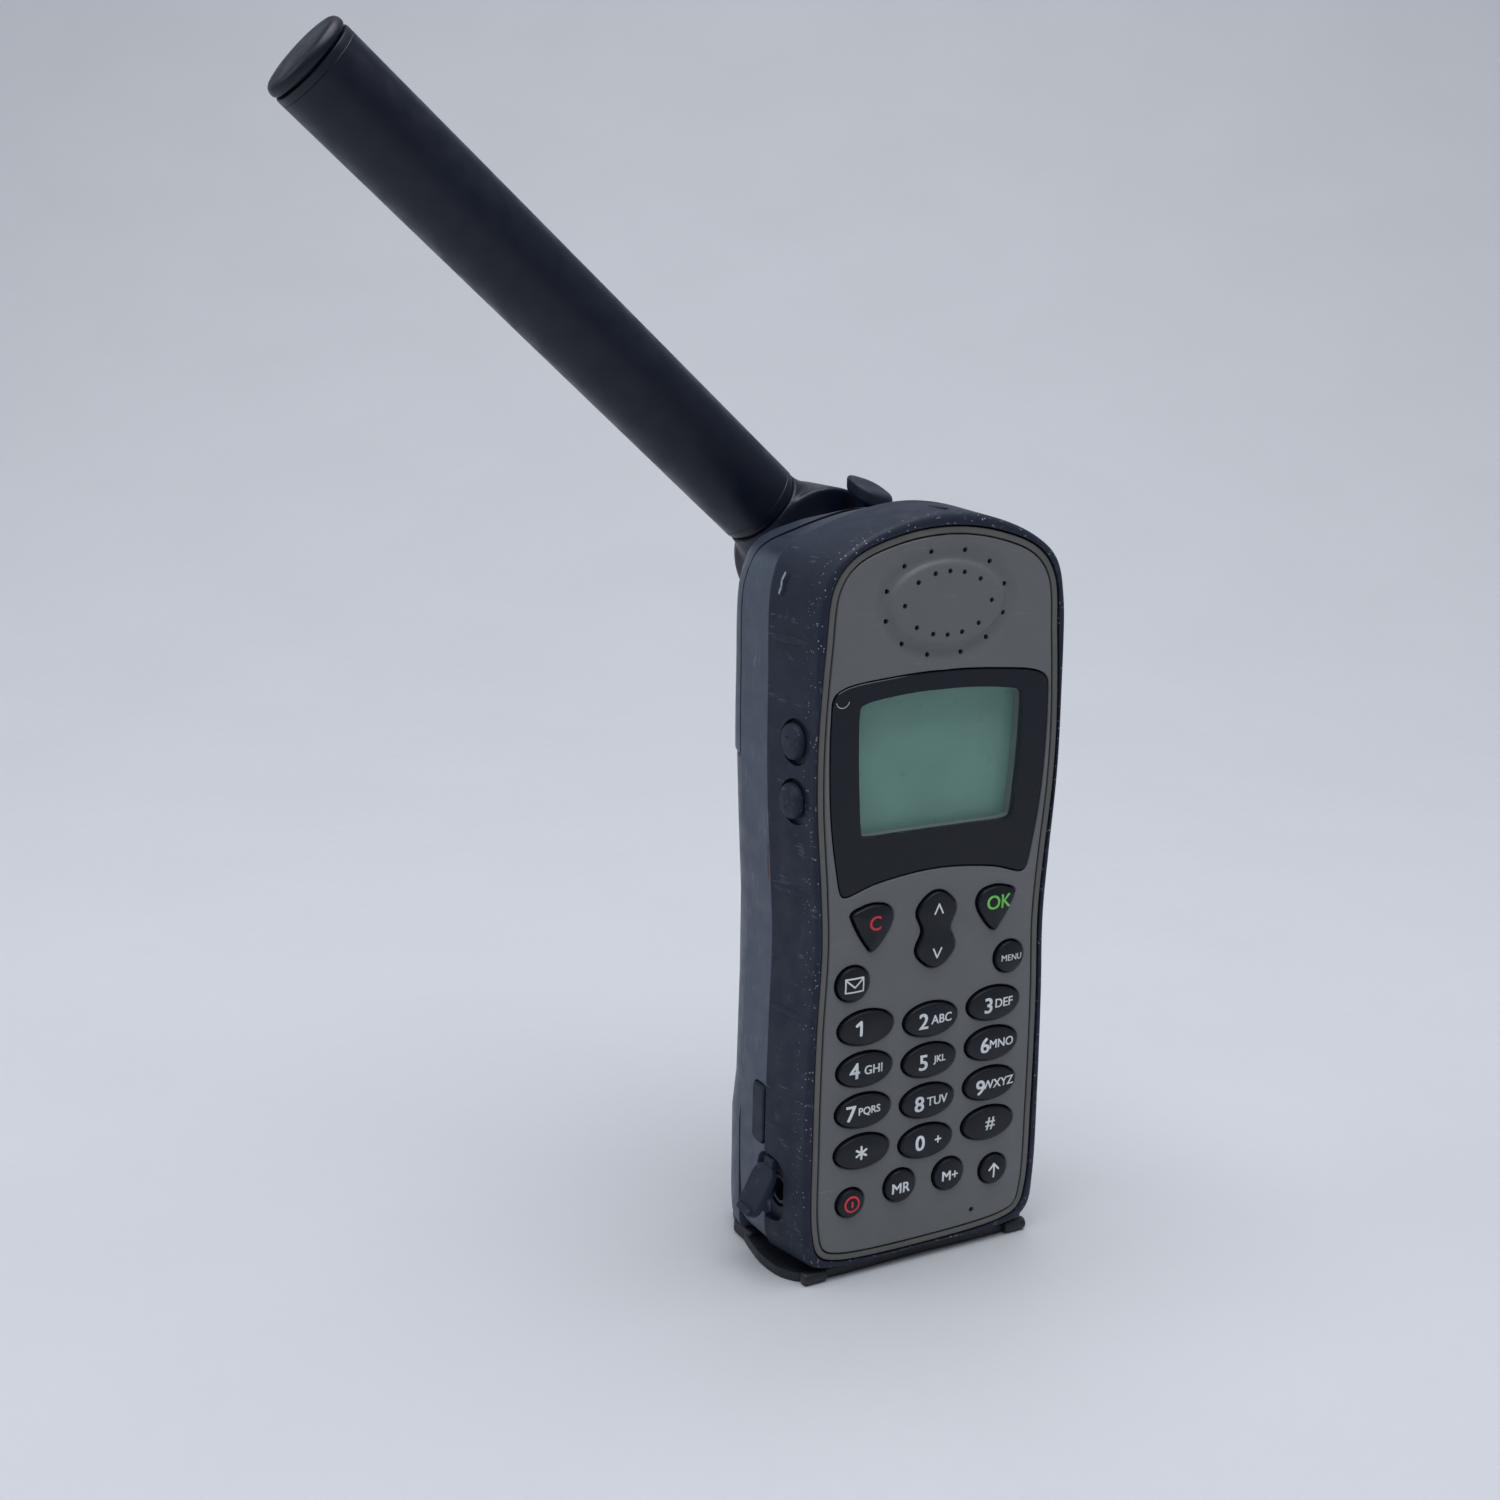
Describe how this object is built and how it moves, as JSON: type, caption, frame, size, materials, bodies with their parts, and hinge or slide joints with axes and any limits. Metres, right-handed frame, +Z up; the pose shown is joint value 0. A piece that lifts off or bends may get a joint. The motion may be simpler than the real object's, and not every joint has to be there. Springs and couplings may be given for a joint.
{
  "type": "satellite phone",
  "caption": "Hand-held satellite phone: rubber-edged body, grey face with separate keys, green display, and a thick tubular antenna that swings behind the top.",
  "frame": {"origin": "centre of the flat foot that the phone stands on", "axes": "+Z up along the phone, +X to the right as seen from the front, -Y out of the face with the display and keys"},
  "size_m": [0.1457, 0.0599, 0.2428],
  "materials": {
    "plate_grey": "fine grained grey plastic",
    "rubber": "soft dark blue-black rubber, lightly worn",
    "housing": "smooth dark blue-grey plastic",
    "antenna_black": "satin black plastic with a blue tint",
    "key_black": "smooth black key tops with white, red and green legends",
    "lens": "clear window with a black printed border",
    "lcd_green": "grey-green reflective display",
    "black_plastic": "black moulded plastic",
    "board_green": "green circuit board",
    "steel": "plain stamped steel",
    "gold": "gold-plated contact metal",
    "white_plastic": "white moulded light guide and holder"
  },
  "bodies": {
    "chassis": {"base_shoe": "black_plastic", "battery_contacts": "gold", "bezel_overmould": "rubber", "display_window": "lens", "dock_connector": "black_plastic", "earpiece_speaker": "black_plastic", "face_plate": "plate_grey", "front_frame": "plate_grey", "headset_jack": "black_plastic", "hinge_washer": "steel", "housing_screw_1": "steel", "housing_screw_2": "steel", "housing_screw_3": "steel", "housing_screw_4": "steel", "keypad_mat": "rubber", "lcd_holder": "white_plastic", "lcd_module": "lcd_green", "main_board": "board_green", "microphone_capsule": "steel", "rear_housing": "housing", "rf_shield": "steel", "sim_holder": "steel", "upper_back": "housing"},
    "antenna": {"antenna_elbow": "antenna_black", "antenna_tube": "antenna_black", "antenna_cap": "antenna_black", "antenna_base_ring": "rubber", "antenna_shaft": "steel", "antenna_core": "gold"},
    "battery": {"battery_pack": "housing"},
    "release_tab": {"top_release_tab": "rubber"},
    "jack_cover": {"jack_cover": "rubber"},
    "slot_plug": {"slot_plug": "rubber"},
    "base_door": {"base_door": "rubber"},
    "volume_up": {"volume_up": "rubber"},
    "volume_down": {"volume_down": "rubber"},
    "key_0": {"key_0": "key_black"},
    "key_1": {"key_1": "key_black"},
    "key_2": {"key_2": "key_black"},
    "key_3": {"key_3": "key_black"},
    "key_4": {"key_4": "key_black"},
    "key_5": {"key_5": "key_black"},
    "key_6": {"key_6": "key_black"},
    "key_7": {"key_7": "key_black"},
    "key_8": {"key_8": "key_black"},
    "key_9": {"key_9": "key_black"},
    "key_c": {"key_c": "key_black"},
    "key_hash": {"key_hash": "key_black"},
    "key_mail": {"key_mail": "key_black"},
    "key_menu": {"key_menu": "key_black"},
    "key_mplus": {"key_mplus": "key_black"},
    "key_mr": {"key_mr": "key_black"},
    "key_nav": {"key_nav": "key_black"},
    "key_ok": {"key_ok": "key_black"},
    "key_power": {"key_power": "key_black"},
    "key_star": {"key_star": "key_black"},
    "key_up": {"key_up": "key_black"}
  },
  "joints": [
    {"name": "antenna_swing", "type": "hinge", "parent": "chassis", "child": "antenna", "pos_m": [-0.0027, 0.0292, 0.1427], "axis": [0, 1, 0], "range_deg": [-131.4, 97.2]},
    {"name": "battery_release", "type": "slide", "parent": "chassis", "child": "battery", "axis": [0, 1, 0], "range_m": [0, 0.03]},
    {"name": "release_tab_press", "type": "slide", "parent": "chassis", "child": "release_tab", "axis": [0, -1, 0], "range_m": [0, 0.002], "stiffness_N_per_m": 500, "springref_m": -0.001},
    {"name": "jack_cover_swing", "type": "hinge", "parent": "chassis", "child": "jack_cover", "pos_m": [-0.03, -0.0089, 0.024], "axis": [0, 1, 0], "range_deg": [-28, 60], "stiffness_Nm_per_rad": 0.002},
    {"name": "slot_plug_pull", "type": "slide", "parent": "chassis", "child": "slot_plug", "axis": [-1, 0, 0], "range_m": [0, 0.006]},
    {"name": "base_door_swing", "type": "hinge", "parent": "chassis", "child": "base_door", "pos_m": [0, -0.015, 0.00105], "axis": [-1, 0, 0], "range_deg": [0, 100]},
    {"name": "volume_up_press", "type": "slide", "parent": "chassis", "child": "volume_up", "axis": [1, 0, 0], "range_m": [0, 0.0006], "stiffness_N_per_m": 1500, "springref_m": -0.0005},
    {"name": "volume_down_press", "type": "slide", "parent": "chassis", "child": "volume_down", "axis": [1, 0, 0], "range_m": [0, 0.0006], "stiffness_N_per_m": 1500, "springref_m": -0.0005},
    {"name": "key_0_press", "type": "slide", "parent": "chassis", "child": "key_0", "axis": [0, 1, 0], "range_m": [0, 0.0008], "stiffness_N_per_m": 1200, "springref_m": -0.0005},
    {"name": "key_1_press", "type": "slide", "parent": "chassis", "child": "key_1", "axis": [0, 1, 0], "range_m": [0, 0.0008], "stiffness_N_per_m": 1200, "springref_m": -0.0005},
    {"name": "key_2_press", "type": "slide", "parent": "chassis", "child": "key_2", "axis": [0, 1, 0], "range_m": [0, 0.0008], "stiffness_N_per_m": 1200, "springref_m": -0.0005},
    {"name": "key_3_press", "type": "slide", "parent": "chassis", "child": "key_3", "axis": [0, 1, 0], "range_m": [0, 0.0008], "stiffness_N_per_m": 1200, "springref_m": -0.0005},
    {"name": "key_4_press", "type": "slide", "parent": "chassis", "child": "key_4", "axis": [0, 1, 0], "range_m": [0, 0.0008], "stiffness_N_per_m": 1200, "springref_m": -0.0005},
    {"name": "key_5_press", "type": "slide", "parent": "chassis", "child": "key_5", "axis": [0, 1, 0], "range_m": [0, 0.0008], "stiffness_N_per_m": 1200, "springref_m": -0.0005},
    {"name": "key_6_press", "type": "slide", "parent": "chassis", "child": "key_6", "axis": [0, 1, 0], "range_m": [0, 0.0008], "stiffness_N_per_m": 1200, "springref_m": -0.0005},
    {"name": "key_7_press", "type": "slide", "parent": "chassis", "child": "key_7", "axis": [0, 1, 0], "range_m": [0, 0.0008], "stiffness_N_per_m": 1200, "springref_m": -0.0005},
    {"name": "key_8_press", "type": "slide", "parent": "chassis", "child": "key_8", "axis": [0, 1, 0], "range_m": [0, 0.0008], "stiffness_N_per_m": 1200, "springref_m": -0.0005},
    {"name": "key_9_press", "type": "slide", "parent": "chassis", "child": "key_9", "axis": [0, 1, 0], "range_m": [0, 0.0008], "stiffness_N_per_m": 1200, "springref_m": -0.0005},
    {"name": "key_c_press", "type": "slide", "parent": "chassis", "child": "key_c", "axis": [0, 1, 0], "range_m": [0, 0.0008], "stiffness_N_per_m": 1200, "springref_m": -0.0005},
    {"name": "key_hash_press", "type": "slide", "parent": "chassis", "child": "key_hash", "axis": [0, 1, 0], "range_m": [0, 0.0008], "stiffness_N_per_m": 1200, "springref_m": -0.0005},
    {"name": "key_mail_press", "type": "slide", "parent": "chassis", "child": "key_mail", "axis": [0, 1, 0], "range_m": [0, 0.0008], "stiffness_N_per_m": 1200, "springref_m": -0.0005},
    {"name": "key_menu_press", "type": "slide", "parent": "chassis", "child": "key_menu", "axis": [0, 1, 0], "range_m": [0, 0.0008], "stiffness_N_per_m": 1200, "springref_m": -0.0005},
    {"name": "key_mplus_press", "type": "slide", "parent": "chassis", "child": "key_mplus", "axis": [0, 1, 0], "range_m": [0, 0.0008], "stiffness_N_per_m": 1200, "springref_m": -0.0005},
    {"name": "key_mr_press", "type": "slide", "parent": "chassis", "child": "key_mr", "axis": [0, 1, 0], "range_m": [0, 0.0008], "stiffness_N_per_m": 1200, "springref_m": -0.0005},
    {"name": "key_nav_rock", "type": "hinge", "parent": "chassis", "child": "key_nav", "pos_m": [0, -0.0178, 0.0728], "axis": [1, 0, 0], "range_deg": [-4, 4], "stiffness_Nm_per_rad": 0.15},
    {"name": "key_ok_press", "type": "slide", "parent": "chassis", "child": "key_ok", "axis": [0, 1, 0], "range_m": [0, 0.0008], "stiffness_N_per_m": 1200, "springref_m": -0.0005},
    {"name": "key_power_press", "type": "slide", "parent": "chassis", "child": "key_power", "axis": [0, 1, 0], "range_m": [0, 0.0008], "stiffness_N_per_m": 1200, "springref_m": -0.0005},
    {"name": "key_star_press", "type": "slide", "parent": "chassis", "child": "key_star", "axis": [0, 1, 0], "range_m": [0, 0.0008], "stiffness_N_per_m": 1200, "springref_m": -0.0005},
    {"name": "key_up_press", "type": "slide", "parent": "chassis", "child": "key_up", "axis": [0, 1, 0], "range_m": [0, 0.0008], "stiffness_N_per_m": 1200, "springref_m": -0.0005}
  ]
}
